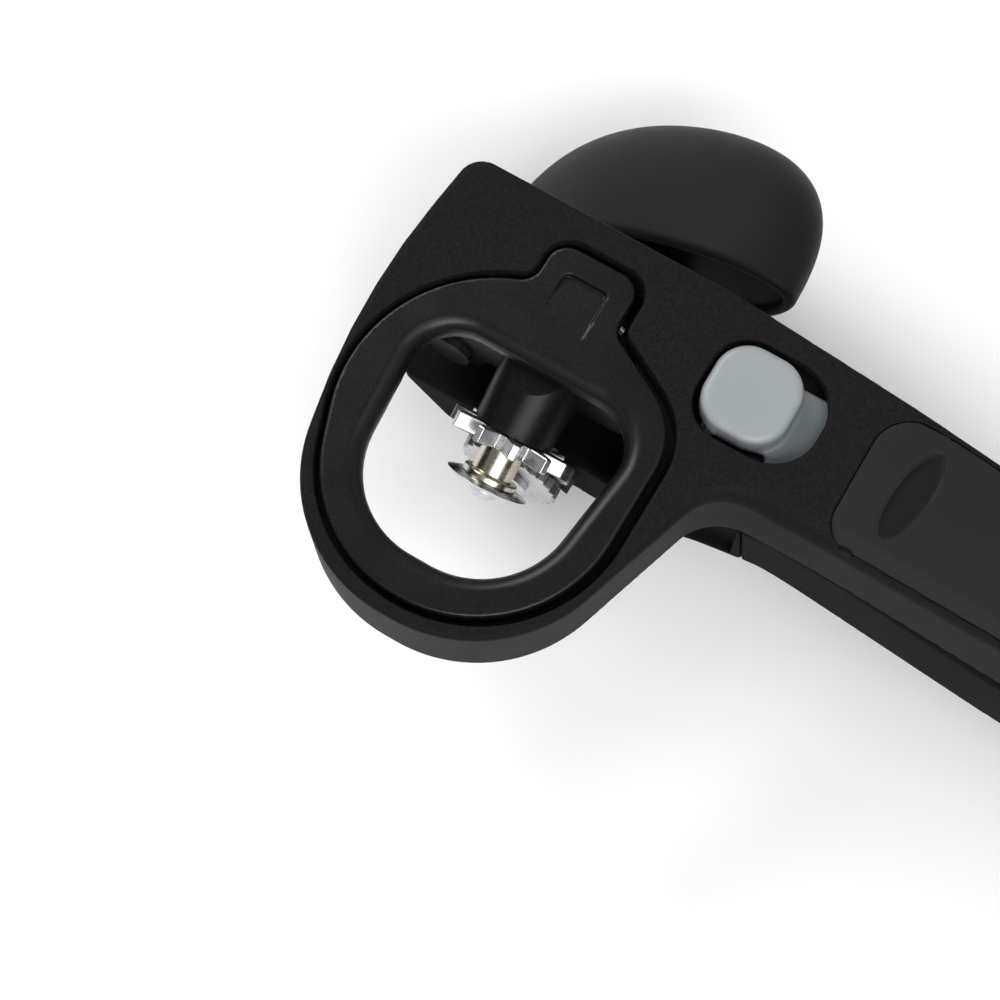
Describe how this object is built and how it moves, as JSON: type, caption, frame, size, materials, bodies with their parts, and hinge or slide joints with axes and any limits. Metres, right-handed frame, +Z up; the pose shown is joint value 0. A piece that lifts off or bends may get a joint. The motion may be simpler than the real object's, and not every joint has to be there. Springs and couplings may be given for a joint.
{
  "type": "manual can opener",
  "caption": "Crank-knob can opener with hinged locking handles, a geared cutting wheel and feed wheel, and a magnetic ring lever that lifts the cut lid.",
  "frame": {"origin": "the nip, on the outer top edge of the can's seam, midway along the line where the can's wall passes between cutting wheel and feed wheel", "axes": "+X from the head towards the handles' ends, +Y from the can towards the turning knob, +Z up out of the can"},
  "size_m": [0.1938, 0.105, 0.0558],
  "materials": {
    "shell_plastic": "fine spark texture",
    "frame_plastic": "plain moulded",
    "ring_plastic": "fine spark texture",
    "grip_soft": "soft satin",
    "knob_soft": "soft satin",
    "core_plastic": "plain moulded",
    "button_plastic": "satin grey",
    "cutter_steel": "ground",
    "gear_steel": "tumbled nickel",
    "hub_steel": "turned, warm nickel",
    "plated_steel": "zinc plated",
    "bearing_bronze": "sintered",
    "magnet_black": "ground magnet face",
    "spring_steel": "drawn wire",
    "black_steel": "blackened, oiled"
  },
  "bodies": {
    "upper": {"head_shell": "shell_plastic", "upper_grip": "grip_soft", "chassis": "frame_plastic", "chassis_screws": "plated_steel", "hinge_pin": "black_steel", "hinge_washers": "plated_steel", "cutter_axle": "plated_steel", "axle_washer": "plated_steel", "catch_pin": "black_steel", "catch_spring": "black_steel", "lock_spring": "spring_steel", "lock_retainer": "frame_plastic"},
    "lower": {"lower_handle": "shell_plastic", "lower_grip": "grip_soft", "hinge_bush": "bearing_bronze", "drive_bushes": "bearing_bronze", "strike_plate": "plated_steel", "strike_screws": "plated_steel"},
    "drive": {"drive_shaft": "plated_steel", "drive_gear": "gear_steel", "feed_wheel": "gear_steel", "thrust_washer": "plated_steel", "knob_core": "core_plastic", "knob_grip": "knob_soft", "knob_pin": "plated_steel", "wave_washer": "spring_steel"},
    "cutter": {"cutting_wheel": "cutter_steel", "cutter_hub": "hub_steel", "cutter_gear": "gear_steel"},
    "lid_catch": {"catch_lever": "ring_plastic", "magnet_cup": "plated_steel", "magnet": "magnet_black"},
    "lock": {"lock_button": "button_plastic", "lock_slide": "black_steel", "lock_screw": "plated_steel"}
  },
  "joints": [
    {"name": "handle_hinge", "type": "hinge", "parent": "upper", "child": "lower", "pos_m": [-0.017, 0.0204, -0.0015], "axis": [0, 1, 0], "range_deg": [0, 25]},
    {"name": "drive_spin", "type": "hinge", "parent": "lower", "child": "drive", "pos_m": [0, 0.02, -0.012], "axis": [0, 1, 0], "continuous": true},
    {"name": "cutter_spin", "type": "hinge", "parent": "upper", "child": "cutter", "pos_m": [0, -0.00741, 0.0012], "axis": [0, 0.9135, 0.4067], "continuous": true},
    {"name": "lid_release", "type": "hinge", "parent": "upper", "child": "lid_catch", "pos_m": [0, 0.0175, 0.012], "axis": [-1, 0, 0], "range_deg": [0, 7], "stiffness_Nm_per_rad": 0.12, "springref_deg": -28.65, "deforming": ["catch_spring"]},
    {"name": "lock_slide", "type": "slide", "parent": "upper", "child": "lock", "axis": [1, 0, 0], "range_m": [0, 0.0038], "stiffness_N_per_m": 300, "springref_m": -0.004, "deforming": ["lock_spring"]}
  ],
  "couplings": [
    {"joint": "cutter_spin", "follows": "drive_spin", "ratio": -1}
  ]
}
